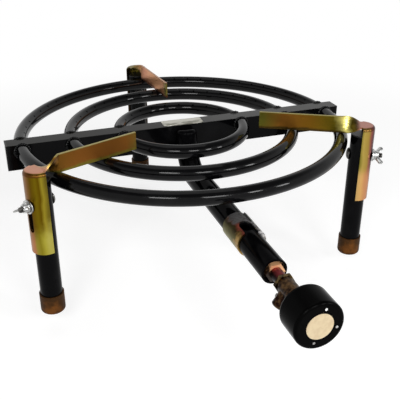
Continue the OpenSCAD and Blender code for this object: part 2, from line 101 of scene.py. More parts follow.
class Shading:
    # the nodes of a material or of the world, added by node(), and the surface that they end in
    def __init__(self, owner, output):
        owner.use_nodes = True
        self.tree = owner.node_tree
        self.tree.nodes.clear()
        self.surface = self.tree.nodes.new("ShaderNode" + output).inputs["Surface"]

    def put(self, socket, value):
        if isinstance(value, Wire):
            self.tree.links.new(value.socket, socket)
        elif socket.type == "RGBA" and len(value) == 3:
            socket.default_value = (*value, 1)
        else:
            socket.default_value = value

    def node(self, kind, settings=None, inputs=None, output=0):
        # any node: its settings first, then the values or wires of its sockets
        made = self.tree.nodes.new("ShaderNode" + kind)
        for name, value in (settings or {}).items():
            if name == "stops":
                self.stops(made.color_ramp, value)
            else:
                setattr(made, name, value)
        for key, value in (inputs or {}).items():
            self.put(made.inputs[key], value)
        return Wire(self, made.outputs[output])

    def stops(self, ramp, stops):
        while len(ramp.elements) < len(stops):
            ramp.elements.new(0.5)
        for element, (place, colour) in zip(ramp.elements, stops):
            element.position = place
            element.color = (*colour, 1)

    def ramp(self, value, stops):
        return self.node("ValToRGB", {"stops": stops}, {"Fac": value})

    def mix(self, share, first, second):
        return self.node("Mix", {"data_type": "RGBA"}, {0: share, 6: first, 7: second}, 2)

    def place(self, origin=(0, 0, 0), turn=0.0, stretch=(1, 1, 1)):
        # object coordinates about an origin, turned back about Z, then stretched
        at = self.node("TexCoord", output="Object")
        at = self.node("VectorMath", {"operation": "SUBTRACT"}, {0: at, 1: tuple(origin)})
        inputs = {"Vector": at, "Rotation": (0, 0, -math.radians(turn))}
        at = self.node("Mapping", {"vector_type": "POINT"}, inputs)
        return self.node("VectorMath", {"operation": "MULTIPLY"}, {0: at, 1: stretch})

    def axes(self, vector):
        split = self.node("SeparateXYZ", inputs={0: vector}).socket.node
        return [Wire(self, socket) for socket in split.outputs]

    def angle(self, up, across):
        # radians from the direction of across towards the direction of up
        return self.node("Math", {"operation": "ARCTAN2"}, {0: up, 1: across})

    def noise(self, vector, scale, detail=2.0):
        return self.node("TexNoise", inputs={"Vector": vector, "Scale": scale, "Detail": detail})

    def bump(self, height, distance, strength=1.0):
        return self.node("Bump", inputs={"Height": height, "Distance": distance, "Strength": strength})


class Finish(Shading):
    # a material that ends in one Principled shader
    def __init__(self, name):
        self.material = bpy.data.materials.new(name)
        super().__init__(self.material, "OutputMaterial")
        self.shader = self.tree.nodes.new("ShaderNodeBsdfPrincipled")
        self.tree.links.new(self.shader.outputs[0], self.surface)

    def set(self, **values):
        # Base_Color stands for the socket Base Color
        for name, value in values.items():
            self.put(self.shader.inputs[name.replace("_", " ")], value)


# finishes
def tone(red, green, blue):
    # linear light from sRGB values of 0 to 255
    return tuple(((value / 255 + 0.055) / 1.055) ** 2.4 for value in (red, green, blue))


# in the dictionaries of the finishes a noise is (scale, detail), From is the two ends of a step,
# and Fade or Edge is its width
enamelSpec = {
    "black": (0.0015, 0.0015, 0.0018), "worn": (0.004, 0.004, 0.0044),
    "wear": (45, 3), "wearFrom": (0.45, 0.75), "speck": (900, 1), "speckFrom": (0.66, 0.74),
    "smooth": 0.07, "wearRough": 0.05, "speckRough": 0.12,
    "peel": (260, 2), "peelHigh": 0.2 * mm, "peelShare": 0.2,
    "ior": {"blackEnamel": 1.23, "barEnamel": 1.14, "legEnamel": 1.13, "pipeEnamel": 1.08},
    # the grey on the bar's top is a painted sheen, darker at its left and paler at its right
    "leftSheen": tone(34, 33, 31), "rightSheen": tone(72, 72, 71), "rightFrom": (-40 * mm, 60 * mm),
    "sheenAbove": {"barEnamel": barHigh.z - 0.3 * mm}, "noSheen": 10.0, "sheenEdge": 0.2 * mm,
}


def blackEnamel(name, spec):
    # baked enamel: nearly black, a slow ripple of orange peel and dull specks;
    # grey painted sheen above a height on the bar's top, paler to the right
    finish = Finish(name)
    at = finish.place()
    x, _, z = finish.axes(at)
    peel = finish.noise(at, *spec["peel"])
    speck = finish.noise(at, *spec["speck"]).step(*spec["speckFrom"])
    wear = finish.noise(at, *spec["wear"]).step(*spec["wearFrom"])
    colour = finish.mix(wear, spec["black"], spec["worn"])
    # painted sheen: grey on the bar's top, paler to the right
    topSheen = finish.mix(x.step(*spec["rightFrom"]), spec["leftSheen"], spec["rightSheen"])
    onTopSheen = (z - spec["sheenAbove"].get(name, spec["noSheen"])).step(0, spec["sheenEdge"])
    finish.set(
        Base_Color=finish.mix(onTopSheen, colour, topSheen),
        Roughness=spec["smooth"] + spec["wearRough"] * wear + spec["speckRough"] * speck,
        Normal=finish.bump(peel, spec["peelHigh"], spec["peelShare"]),
        IOR=spec["ior"][name],
    )
    return finish.material


# hues of the zinc: along the arm to the leg, then round the shell in its upper and its lower part; rim is a
# painted highlight on the strip's top edge and bend painted shade on the fold above the shell
zincHues = {
    "left": {
        "arm": [
            (0.0, tone(112, 96, 40)), (0.12, tone(138, 88, 36)), (0.6, tone(134, 84, 34)),
            (0.84, tone(120, 84, 30)), (0.95, tone(150, 128, 62))],
        # rim: a painted highlight on the strip's top edge; bend: painted shade on the fold above the shell
        "rim": tone(158, 146, 88), "hem": tone(118, 106, 40),
        "flat": tone(192, 136, 110), "bend": tone(80, 44, 22), "lowTop": -40 * mm,
        "high": [
            (0.30, tone(140, 104, 66)), (0.50, tone(122, 84, 40)), (0.60, tone(94, 70, 6)),
            (0.72, tone(108, 90, 12)), (0.80, tone(92, 70, 4)), (0.87, tone(142, 126, 36)),
            (0.96, tone(106, 92, 28))],
        "low": [
            (0.30, tone(160, 112, 78)), (0.53, tone(170, 112, 70)), (0.60, tone(142, 128, 48)),
            (0.70, tone(132, 120, 30)), (0.80, tone(164, 154, 56)), (0.90, tone(174, 164, 78))],
    },
    "right": {
        # the pale stop at 0.83 is a painted highlight on the twist, the dark stops after it painted shade
        # beside it
        "arm": [
            (0.0, tone(104, 100, 36)), (0.22, tone(140, 92, 34)), (0.5, tone(118, 82, 22)),
            (0.72, tone(104, 90, 20)), (0.83, tone(226, 214, 122)), (0.9, tone(92, 78, 20)),
            (0.97, tone(60, 46, 20))],
        "rim": tone(150, 138, 70), "hem": tone(70, 54, 22),
        "flat": tone(168, 112, 96), "bend": tone(70, 34, 22), "lowTop": -26 * mm,
        "high": [
            (0.0, tone(110, 104, 36)), (0.08, tone(170, 146, 72)), (0.20, tone(158, 130, 60)),
            (0.27, tone(140, 78, 66)), (0.34, tone(84, 28, 34)), (0.48, tone(44, 10, 16)),
            (0.8, tone(120, 84, 40))],
        "low": [
            (0.0, tone(186, 154, 94)), (0.12, tone(206, 160, 97)), (0.20, tone(196, 140, 92)),
            (0.33, tone(190, 128, 88)), (0.40, tone(140, 100, 62)), (0.8, tone(150, 120, 60))],
    },
    "rear": {
        "arm": [
            (0.0, tone(160, 146, 76)), (0.06, tone(230, 166, 116)), (0.45, tone(220, 156, 106)),
            (0.7, tone(200, 134, 100)), (0.9, tone(120, 108, 52))],
        "rim": tone(172, 128, 96), "hem": tone(122, 72, 46),
        "flat": tone(112, 100, 48), "bend": tone(70, 60, 24), "lowTop": -36 * mm,
        "high": [
            (0.08, tone(34, 26, 16)), (0.3, tone(112, 100, 36)), (0.7, tone(120, 106, 44)),
            (0.92, tone(36, 28, 16))],
        "low": [
            (0.08, tone(40, 29, 18)), (0.3, tone(128, 112, 42)), (0.7, tone(150, 112, 70)),
            (0.92, tone(42, 30, 18))],
    },
}

# heights above the ring centres and reaches from the leg's axis where a bracket's hues change,
# and how far the clouds shift each of them
bracketSpec = {
    # the strip's top edge, from 27 to 27.8 mm, carries a painted highlight
    "armL": 120 * mm, "hemTop": 12.5 * mm, "hemFade": 3 * mm, "rimHighlightFrom": (27 * mm, 27.8 * mm),
    "flatFrom": (-8 * mm, -1 * mm), "lowFrom": (-4 * mm, 20 * mm),
    "shellTop": 19.2 * mm, "shellEdge": 0.5 * mm, "shellFrom": (-2 * mm, -0.5 * mm),
    # the bend's band, between 14.5 and 19 mm, holds painted shade
    "bendTop": 19 * mm, "bendTopFade": 0.8 * mm, "bendFoot": 14.5 * mm, "bendFootFade": 1.5 * mm,
    "bendShadeShare": 0.75,
    "cloud": (40, 3), "armShift": 0.2, "turnShift": 0.12, "hemShift": 6 * mm, "lowShift": 40 * mm,
    "streak": (60, 900, 900), "streakDetail": 2, "streakHigh": 0.2 * mm, "streakShare": 0.3,
    "smooth": 0.24, "rough": 0.22,
}


def yellowZinc(side, hues, spec):
    # passivated zinc on one bracket: hue drifts along the arm, across its edges and round the shell, with a
    # painted highlight on the strip's top edge, painted shade on the bend, and a painted highlight and shade
    # at the right twist
    finish = Finish(f"yellowZinc_{side}")
    origin = (*legAxis[side].xy, ringCentre.z)
    at = finish.place(origin, arms[side])
    x, y, z = finish.axes(at)
    cloud = finish.noise(at, *spec["cloud"]) - 0.5
    streak = finish.noise(finish.place(origin, arms[side], spec["streak"]), 1, spec["streakDetail"])
    arm = finish.ramp((x + spec["armL"]) / spec["armL"] + cloud * spec["armShift"], hues["arm"])
    onHem = (spec["hemTop"] - z + cloud * spec["hemShift"]).step(0, spec["hemFade"])
    arm = finish.mix(onHem, arm, hues["hem"])
    # painted highlight along the strip's top edge
    arm = finish.mix(z.step(*spec["rimHighlightFrom"]), arm, hues["rim"])
    arm = finish.mix(x.step(*spec["flatFrom"]), arm, hues["flat"])
    turnAt = finish.angle(y, x) / math.pi + 0.5 + cloud * spec["turnShift"]
    isLow = (hues["lowTop"] - z + cloud * spec["lowShift"]).step(*spec["lowFrom"])
    shell = finish.mix(isLow, finish.ramp(turnAt, hues["high"]), finish.ramp(turnAt, hues["low"]))
    # painted shade on the fold between the plate and the shell
    onBendShade = (spec["bendTop"] - z).step(0, spec["bendTopFade"])
    onBendShade = onBendShade * (z - spec["bendFoot"]).step(0, spec["bendFootFade"])
    shell = finish.mix(onBendShade * spec["bendShadeShare"], shell, hues["bend"])
    onShell = (spec["shellTop"] - z).step(0, spec["shellEdge"]) * x.step(*spec["shellFrom"])
    finish.set(
        Base_Color=finish.mix(onShell, arm, shell),
        Metallic=1.0,
        Roughness=spec["smooth"] + spec["rough"] * streak,
        Normal=finish.bump(streak, spec["streakHigh"], spec["streakShare"]),
    )
    return finish.material


# shares of a turn round the sleeve, and lengths from its front edge
shutterSpec = {
    # the dark stops at 0.36 and 0.48 are painted dark reflection; the greys at 0.53 and 0.64 a painted
    # highlight on the lap
    "hues": [
        (0.20, tone(110, 106, 24)), (0.29, tone(72, 66, 10)), (0.36, tone(54, 42, 6)),
        (0.42, tone(140, 66, 52)), (0.48, tone(70, 44, 36)), (0.53, tone(150, 148, 147)),
        (0.64, tone(206, 204, 204)), (0.80, tone(112, 104, 84))],
    "tan": tone(160, 128, 68), "tanEnd": 12 * mm, "tanShift": 20 * mm, "tanTurn": 0.4, "tanFade": 0.05,
    "grey": tone(104, 103, 103), "greyStart": 18 * mm, "greyTurn": 0.35, "greyFade": 0.06, "edge": 6 * mm,
    "lapTurn": 0.49, "lapFade": 0.04, "cloud": (160, 3), "turnShift": 0.12,
    "speck": tone(42, 36, 10), "lapSpeck": tone(40, 39, 40), "specks": (420, 2), "specksFrom": (0.42, 0.62),
    "speckShare": 0.25, "lapShare": 0.4, "grain": (300, 2), "smooth": 0.25, "rough": 0.2,
}


def shutterZinc(spec):
    # zinc round the sleeve: yellow green, brown and red up to the notch, with dark stops beside the red as
    # painted dark reflection, then a specked grey lap whose palest greys are a painted highlight; tan along
    # the front edge, grey along the rear
    finish = Finish("shutterZinc")
    at = finish.place((gasAxis.x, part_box("air_shutter")[0].y, gasAxis.z))
    x, y, z = finish.axes(at)
    cloud = finish.noise(at, *spec["cloud"]) - 0.5
    turnAt = finish.angle(x, z) / (2 * math.pi) + 0.5 + cloud * spec["turnShift"]
    front = (spec["tanEnd"] - y + cloud * spec["tanShift"]).step(0, spec["edge"])
    rear = (y - spec["greyStart"]).step(0, spec["edge"])
    onLap = (turnAt - spec["lapTurn"]).step(0, spec["lapFade"])
    colour = finish.ramp(turnAt, spec["hues"])
    colour = finish.mix(front * (spec["tanTurn"] - turnAt).step(0, spec["tanFade"]), colour, spec["tan"])
    colour = finish.mix(rear * (turnAt - spec["greyTurn"]).step(0, spec["greyFade"]), colour, spec["grey"])
    share = spec["speckShare"] + spec["lapShare"] * onLap
    share = finish.noise(at, *spec["specks"]).step(*spec["specksFrom"]) * share
    finish.set(
        Base_Color=finish.mix(share, colour, finish.mix(onLap, spec["speck"], spec["lapSpeck"])),
        Metallic=1.0,
        Roughness=spec["smooth"] + spec["rough"] * finish.noise(at, *spec["grain"]),
    )
    return finish.material


# clean is brass lit on its upper right as painted light, on the holder a painted highlight; brown is tarnish
# and painted shade
brassHues = {
    "brass": {
        "clean": tone(96, 72, 46), "brown": tone(28, 15, 11), "metal": 1.0,
        "lean": 0.2, "mottle": 40 * mm, "cleanAndLitFrom": (-7 * mm, 11 * mm)},
    "holderBrass": {
        "clean": tone(222, 168, 122), "brown": tone(42, 26, 14), "metal": 0.35,
        "lean": 1.0, "mottle": 16 * mm, "cleanAndLitFrom": (-1 * mm, 6 * mm)},
}
brassSpec = {
    "patch": (280, 3), "right": 0.6, "rings": (40, 2600, 40), "ringDetail": 1, "ringHigh": 0.1 * mm,
    "ringShare": 0.4, "smooth": 0.2, "rough": 0.25,
}


def turnedBrass(name, hues, spec):
    # turned brass: fine tool rings across the gas line, browned, with clean brass in mottles; the clean
    # share leans to its upper right as painted light and the brown to its lower left as painted shade
    finish = Finish(name)
    at = finish.place(gasAxis)
    x, _, z = finish.axes(at)
    rings = finish.noise(finish.place(gasAxis, 0, spec["rings"]), 1, spec["ringDetail"])
    patch = finish.noise(at, *spec["patch"]) - 0.5
    # painted light: clean brass leans to the upper right, painted shade and tarnish to the lower left
    cleanAndLit = ((x * spec["right"] + z) * hues["lean"] + patch * hues["mottle"]).step(*hues["cleanAndLitFrom"])
    finish.set(
        Base_Color=finish.mix(cleanAndLit, hues["brown"], hues["clean"]),
        Metallic=hues["metal"],
        Roughness=spec["smooth"] + spec["rough"] * rings,
        Normal=finish.bump(rings, spec["ringHigh"], spec["ringShare"]),
    )
    return finish.material


neckSpec = {
    # pink is a painted highlight on the upper right; dark is the pipe's dark red, near black as painted
    # shade on its lower left
    "dark": tone(20, 8, 7), "pinkSheen": tone(112, 42, 44), "right": 0.6, "pinkSheenFrom": (-1 * mm, 6 * mm),
    "light": tone(108, 88, 52), "brown": tone(36, 24, 14), "hexagonL": 4.1 * mm, "hexagonEdge": 0.2 * mm,
    "cloud": (220, 3), "brownFrom": (0.4, 0.6), "smooth": 0.22, "rough": 0.25,
}


def redNeck(spec):
    # the neck: a dark red pipe with a pink painted highlight on its upper right and painted shade near black
    # on its lower left, and a brass hexagon at the valve
    finish = Finish("redNeck")
    at = finish.place((gasAxis.x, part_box("neck")[0].y, gasAxis.z))
    x, y, z = finish.axes(at)
    cloud = finish.noise(at, *spec["cloud"])
    # painted highlight on the upper right over painted shade on the lower left
    pipe = finish.mix((x * spec["right"] + z).step(*spec["pinkSheenFrom"]), spec["dark"], spec["pinkSheen"])
    hexagon = finish.mix(cloud.step(*spec["brownFrom"]), spec["light"], spec["brown"])
    finish.set(
        Base_Color=finish.mix((spec["hexagonL"] - y).step(0, spec["hexagonEdge"]), pipe, hexagon),
        Metallic=1.0,
        Roughness=spec["smooth"] + spec["rough"] * cloud,
    )
    return finish.material


plainSpec = {
    "light": {"brightZinc": tone(216, 217, 216), "greyZinc": tone(116, 114, 110)},
    "dark": {"brightZinc": tone(158, 158, 156), "greyZinc": tone(58, 57, 56)},
    "cloud": (140, 2), "darkFrom": (0.35, 0.65), "smooth": 0.24, "rough": 0.16,
}


def plainZinc(name, spec):
    # unpassivated zinc: a soft grey mottle
    finish = Finish(name)
    cloud = finish.noise(finish.place(), *spec["cloud"])
    finish.set(
        Base_Color=finish.mix(cloud.step(*spec["darkFrom"]), spec["light"][name], spec["dark"][name]),
        Metallic=1.0,
        Roughness=spec["smooth"] + spec["rough"] * cloud,
    )
    return finish.material


rubberSpec = {
    "brown": tone(60, 38, 16), "rubbed": tone(106, 64, 26), "patch": (70, 4), "rubbedFrom": (0.4, 0.68),
    "grain": (1200, 2), "grainHigh": 0.2 * mm, "grainShare": 0.4, "smooth": 0.42, "rough": 0.2, "ior": 1.16,
}


def brownRubber(spec):
    # moulded ferrule: reddish brown, rubbed to orange in patches
    finish = Finish("brownRubber")
    at = finish.place()
    patch = finish.noise(at, *spec["patch"]).step(*spec["rubbedFrom"])
    grain = finish.noise(at, *spec["grain"])
    finish.set(
        Base_Color=finish.mix(patch, spec["brown"], spec["rubbed"]),
        Roughness=spec["smooth"] + spec["rough"] * grain,
        Normal=finish.bump(grain, spec["grainHigh"], spec["grainShare"]),
        IOR=spec["ior"],
    )
    return finish.material


plasticSpec = {
    "colour": {"plugBlack": tone(24, 24, 25), "knobBlack": tone(3, 3, 3)},
    "smooth": {"plugBlack": 0.35, "knobBlack": 0.1}, "ior": {"plugBlack": 1.3, "knobBlack": 1.08},
    "smear": (60, 3), "smearFrom": (0.4, 0.8), "smearDark": 0.8, "smearRough": 0.1,
    "grain": (1500, 1), "grainHigh": 0.1 * mm, "grainShare": 0.2,
}


def mouldedPlastic(name, spec):
    # moulded plastic: a fine grain, smeared a little darker and duller by hands
    colour = spec["colour"][name]
    finish = Finish(name)
    at = finish.place()
    grain = finish.noise(at, *spec["grain"])
    smear = finish.noise(at, *spec["smear"])
    smeared = tuple(spec["smearDark"] * light for light in colour)
    finish.set(
        Base_Color=finish.mix(smear.step(*spec["smearFrom"]), colour, smeared),
        Roughness=spec["smooth"][name] + spec["smearRough"] * smear,
        Normal=finish.bump(grain, spec["grainHigh"], spec["grainShare"]),
        IOR=spec["ior"][name],
    )
    return finish.material


discSpec = {
    "cream": tone(210, 191, 154), "tan": tone(199, 177, 142), "cloud": (180, 3), "tanFrom": (0.35, 0.7),
    "smooth": 0.35, "rough": 0.15,
}


def creamDisc(spec):
    # pressed disc: satin cream gold with a faint mottle
    finish = Finish("creamDisc")
    cloud = finish.noise(finish.place((0, knobFace, gasAxis.z)), *spec["cloud"])
    finish.set(
        Base_Color=finish.mix(cloud.step(*spec["tanFrom"]), spec["cream"], spec["tan"]),
        Roughness=spec["smooth"] + spec["rough"] * cloud,
    )
    return finish.material


enamel = blackEnamel("blackEnamel", enamelSpec)
legEnamel = blackEnamel("legEnamel", enamelSpec)
pipeEnamel = blackEnamel("pipeEnamel", enamelSpec)
brass = turnedBrass("brass", brassHues["brass"], brassSpec)
bright = plainZinc("brightZinc", plainSpec)
steel = plainZinc("greyZinc", plainSpec)
rubber = brownRubber(rubberSpec)
plugBlack = mouldedPlastic("plugBlack", plasticSpec)
byNode = {
    "air_shutter": shutterZinc(shutterSpec), "neck": redNeck(neckSpec), "knob_disc": creamDisc(discSpec),
    "injector_holder": turnedBrass("holderBrass", brassHues["holderBrass"], brassSpec),
    "control_knob": mouldedPlastic("knobBlack", plasticSpec),
    "manifold_bar": blackEnamel("barEnamel", enamelSpec),
    "mixer_tube": pipeEnamel, "riser": pipeEnamel,
}
brassNodes = ("injector_jet", "valve_body", "inlet_nipple", "gland_nut", "valve_spindle", "shutter_screw")
for name in brassNodes:
    byNode[name] = brass
for side in arms:
    byNode[f"{side}_bracket"] = yellowZinc(side, zincHues[side], bracketSpec)
    byNode[f"{side}_leg"] = legEnamel
    byNode[f"{side}_foot"] = rubber
    byNode[f"{side}_leg_plug"] = plugBlack
    for piece in ("bolt", "washer", "wing_nut"):
        byNode[f"{side}_{piece}"] = bright
for name, node in nodes.items():
    node.data.materials.clear()
    node.data.materials.append(byNode.get(name, enamel))
print("finishes:", len(bpy.data.materials))


# new pieces
def quadsOf(rows, columns, wrapRows, wrapColumns):
    # corners of the quads between neighbouring rows and columns of a grid
    a, b = np.meshgrid(
        np.arange(rows if wrapRows else rows - 1),
        np.arange(columns if wrapColumns else columns - 1), indexing="ij")
    c, d = (a + 1) % rows, (b + 1) % columns
    return np.stack([a * columns + b, a * columns + d, c * columns + d, c * columns + b], -1).reshape(-1, 4)


meshSpec = {"merge": 1e-7, "flat": 1e-8}  # metres: points that count as one, edges that count as none


def buildPiece(name, patches, material, body, replaced=()):
    # one mesh from patches of (grid of points, wrap the rows, wrap the columns)
    sizes = [grid.shape[0] * grid.shape[1] for grid, _, _ in patches]
    starts = np.cumsum([0, *sizes[:-1]])
    points = np.concatenate([grid.reshape(-1, 3) for grid, _, _ in patches])
    quads = np.concatenate([
        start + quadsOf(*grid.shape[:2], wrapRows, wrapColumns)
        for start, (grid, wrapRows, wrapColumns) in zip(starts, patches)])
    mesh = bpy.data.meshes.new(name)
    mesh.vertices.add(len(points))
    mesh.vertices.foreach_set("co", points.astype(np.float32).ravel())
    mesh.loops.add(quads.size)
    mesh.loops.foreach_set("vertex_index", quads.astype(np.int32).ravel())
    mesh.polygons.add(len(quads))
    mesh.polygons.foreach_set("loop_start", np.arange(0, quads.size, 4, dtype=np.int32))
    mesh.update(calc_edges=True)
    work = bmesh.new()  # merged poles and seams, then faces turned outwards
    work.from_mesh(mesh)
    bmesh.ops.remove_doubles(work, verts=work.verts, dist=meshSpec["merge"])
    bmesh.ops.dissolve_degenerate(work, edges=work.edges, dist=meshSpec["flat"])
    bmesh.ops.recalc_face_normals(work, faces=work.faces)
    work.to_mesh(mesh)
    work.free()
    mesh.polygons.foreach_set("use_smooth", np.ones(len(mesh.polygons), bool))
    mesh.materials.append(material)
    piece = bpy.data.objects.new(name, mesh)
    scene.collection.objects.link(piece)
    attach(piece, body)
    if replaced:
        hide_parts(*replaced)
    return piece


def turned(profile, sides=48):
    # spins (radius, height) points about Z: x = r cos a, y = r sin a, z = h
    radius, height = np.asarray(profile, float).T
    a = np.linspace(0, 2 * np.pi, sides, endpoint=False)
    return np.stack([
        np.outer(radius, np.cos(a)), np.outer(radius, np.sin(a)), np.outer(height, np.ones(sides))], -1)


def onFrame(grid, origin, across, up, out):
    # carries local x, y, z onto three directions from an origin
    axes = np.array([across, up, out], float)
    return np.asarray(origin) + grid @ axes


def onBolt(side, grid):
    # local z runs outwards along a clamping bolt from the ring axis, x across it and y up
    a = math.radians(arms[side])
    origin = (ringCentre.x, ringCentre.y, middle(f"{side}_bolt").z)
    return onFrame(grid, origin, (-math.sin(a), math.cos(a), 0), (0, 0, 1), (math.cos(a), math.sin(a), 0))


# the rear bolt lies along Y, so its box gives every bolt's lengths
boltLow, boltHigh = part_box("rear_bolt")
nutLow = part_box("rear_wing_nut")[0]
boltSpec = {
    "start": boltLow.y - ringCentre.y, "end": boltHigh.y - ringCentre.y,
    "headR": (boltHigh.z - boltLow.z) / 2, "headH": 3.5 * mm, "headRows": 9,
    "collarR": 0.4 * mm, "collarL": 0.3 * mm, "tipIn": 0.7 * mm, "tipL": 0.6 * mm,
    "radius": 3.0 * mm, "pitch": 1.0 * mm, "depth": 0.45 * mm, "threadL": 16 * mm,
    "threadRows": 150, "sides": 40,
}


def boltGrid(spec):
    # a dome, a shank and a thread: r = R - d (0.5 + 0.5 cos(2 pi h / pitch - a)) over the threaded stretch
    dome = np.linspace(0, np.pi / 2, spec["headRows"])
    radius, pitch, end = spec["radius"], spec["pitch"], spec["end"]
    headEnd = spec["start"] + spec["headH"]
    head = np.stack([spec["headR"] * np.sin(dome), spec["start"] + spec["headH"] * (1 - np.cos(dome))], 1)
    shank = [(radius + spec["collarR"], headEnd), (radius, headEnd + spec["collarL"])]
    threadStart = end - spec["threadL"]
    heights = np.linspace(threadStart, end - spec["tipL"], spec["threadRows"])
    thread = np.stack([np.full(spec["threadRows"], radius), heights], 1)
    tip = [(radius - spec["tipIn"], end), (0, end)]
    grid = turned(np.concatenate([head, shank, thread, tip]), spec["sides"])
    a = np.linspace(0, 2 * np.pi, spec["sides"], endpoint=False)
    first = len(head) + len(shank)
    rows = slice(first, first + spec["threadRows"])
    fade = np.clip((heights - threadStart) / pitch, 0, 1)
    cut = 0.5 + 0.5 * np.cos(2 * np.pi * heights[:, None] / pitch - a)
    scale = 1 - spec["depth"] / radius * fade[:, None] * cut
    grid[rows, :, 0] *= scale
    grid[rows, :, 1] *= scale
    return grid


wingSpec = {
    "start": nutLow.y - ringCentre.y, "height": 6.0 * mm, "footR": 6.0 * mm, "endR": 4.5 * mm,
    "bore": 3.08 * mm, "edge": 0.5 * mm, "turn": 25,
    "root": (3.9 * mm, 3.3 * mm), "rootW": 4.4 * mm, "rootT": 2.9 * mm,
    "tip": (12.9 * mm, 9.66 * mm), "tipW": 6.4 * mm, "tipT": 2.0 * mm,
    "oval": 0.7, "rows": 40, "columns": 28,
}


def wingBase(spec):
    # a hollow cone with eased edges, its outline carried once round
    edge, foot, end, high, bore = (spec[key] for key in ("edge", "footR", "endR", "height", "bore"))
    return turned([
        (bore, 0), (foot - edge, 0), (foot, edge), (foot, 3 * edge),
        (end, high - edge), (end - edge, high), (bore, high)])


def wingEar(spec, way):
    # an oval |cos v|^p, |sin v|^p carried from the nut's wall to a round tip, its width and thickness
    # changing along the path
    s = np.linspace(0, 1, spec["rows"])[:, None]
    v = np.linspace(0, 2 * np.pi, spec["columns"], endpoint=False)[None, :]
    root, tip = np.array(spec["root"]), np.array(spec["tip"])
    along = tip - root
    length = np.hypot(*along)
    along /= length
    roundFrom = 1 - spec["tipW"] / 2 / length
    close = np.sqrt(np.clip(1 - np.clip((s - roundFrom) / (1 - roundFrom), 0, 1) ** 2, 0, 1))
    width = (spec["rootW"] + (spec["tipW"] - spec["rootW"]) * s) / 2 * close
    thick = (spec["rootT"] + (spec["tipT"] - spec["rootT"]) * s) / 2 * np.sqrt(close)
    sideways = np.sign(np.cos(v)) * np.abs(np.cos(v)) ** spec["oval"] * width
    flat = np.sign(np.sin(v)) * np.abs(np.sin(v)) ** spec["oval"] * thick
    out = root[0] + along[0] * length * s - along[1] * sideways
    high = root[1] + along[1] * length * s + along[0] * sideways
    a = math.radians(spec["turn"] + way)
    return np.stack([
        out * math.cos(a) - flat * math.sin(a), out * math.sin(a) + flat * math.cos(a), high], -1)


for side in arms:
    buildPiece(
        f"{side}_threaded_bolt", [(onBolt(side, boltGrid(boltSpec)), False, True)],
        steel, f"{side}_leg", [f"{side}_bolt"])
    lift = np.array([0, 0, wingSpec["start"]])
    ears = [(onBolt(side, wingEar(wingSpec, way) + lift), False, True) for way in (0, 180)]
    buildPiece(
        f"{side}_cast_wing_nut", [(onBolt(side, wingBase(wingSpec) + lift), True, True), *ears],
        bright, f"{side}_wing", [f"{side}_wing_nut"])
print("fasteners: bolts and wing nuts")

feedSpec = {
    "bendR": 34 * mm, "turn": 78, "stand": 21 * mm, "below": 8 * mm, "bendRows": 28,
    "endRound": 5 * mm, "endRows": 9, "merge": 1e-6, "cut": 1e-7, "sharp": 35,
}


def feedPath(spec):
    # y and z of the pipe's axis with its slope: a circle's arc from level to the turn,
    # then straight on up the bar's face
    turn = math.radians(spec["turn"])
    slope = np.linspace(0, turn, spec["bendRows"])
    y = ringCentre.y - spec["stand"] + spec["bendR"] * (np.sin(slope) - math.sin(turn))
    z = gasAxis.z + spec["bendR"] * (1 - np.cos(slope))
    rise = barHigh.z - spec["below"] - z[-1]
    return np.append(y, y[-1] + rise / math.tan(turn)), np.append(z, z[-1] + rise), np.append(slope, turn)


def bentWall(rim, path, endRound, endRows):
    # a rim of (x, z) offsets carried along the path, each row square to it,
    # then eased over a quarter circle to a pole
    y, z, slope = (np.asarray(part)[:, None] for part in path)
    across, up = rim[None, :, 0], rim[None, :, 1]
    wall = np.stack([gasAxis.x + across + 0 * y, y - up * np.sin(slope), z + up * np.cos(slope)], -1)
    end = np.array([gasAxis.x, path[0][-1], path[1][-1]])
    way = np.array([0, math.cos(path[2][-1]), math.sin(path[2][-1])])
    t = np.linspace(0, np.pi / 2, endRows)[1:]
    share = np.append(1 - endRound / np.hypot(*rim.T).max() * (1 - np.cos(t)), 0)[:, None, None]
    lift = np.append(endRound * np.sin(t), endRound)[:, None, None]
    return np.concatenate([wall, end + (wall[-1] - end) * share + way * lift])


def bentFeedPipe(spec):
    # the gas pipe: a copy of the tube's front with its air windows, cut where the bend begins
    # and carried on in both walls
    path = feedPath(spec)
    work = bmesh.new()
    work.from_mesh(nodes["mixer_tube"].data)
    bmesh.ops.remove_doubles(work, verts=work.verts, dist=spec["merge"])
    bmesh.ops.bisect_plane(
        work, geom=[*work.verts, *work.edges, *work.faces], dist=spec["cut"],
        plane_co=(0, path[0][0], 0), plane_no=(0, 1, 0), clear_outer=True)
    ends = {vert for edge in work.edges if edge.is_boundary for vert in edge.verts}
    rim = np.array([(vert.co.x - gasAxis.x, vert.co.z - gasAxis.z) for vert in ends])
    rim = rim[np.argsort(np.arctan2(rim[:, 1], rim[:, 0]))]
    reach = np.hypot(*rim.T)
    isOuter = reach > (reach.min() + reach.max()) / 2
    outer = bentWall(rim[isOuter], path, spec["endRound"], spec["endRows"])
    inner = bentWall(rim[~isOuter], path, 0, spec["endRows"])
    piece = buildPiece(
        "bent_feed_pipe", [(outer, False, True), (inner, False, True)],
        pipeEnamel, "burner", ["mixer_tube", "mixer_end_cap", "riser"])
    work.from_mesh(piece.data)
    bmesh.ops.remove_doubles(work, verts=work.verts, dist=spec["merge"])
    bmesh.ops.recalc_face_normals(work, faces=work.faces)
    print("gas pipe: open edges", sum(edge.is_boundary for edge in work.edges))
    work.to_mesh(piece.data)
    work.free()
    piece.data.polygons.foreach_set("use_smooth", np.ones(len(piece.data.polygons), bool))
    piece.data.set_sharp_from_angle(angle=math.radians(spec["sharp"]))


bentFeedPipe(feedSpec)

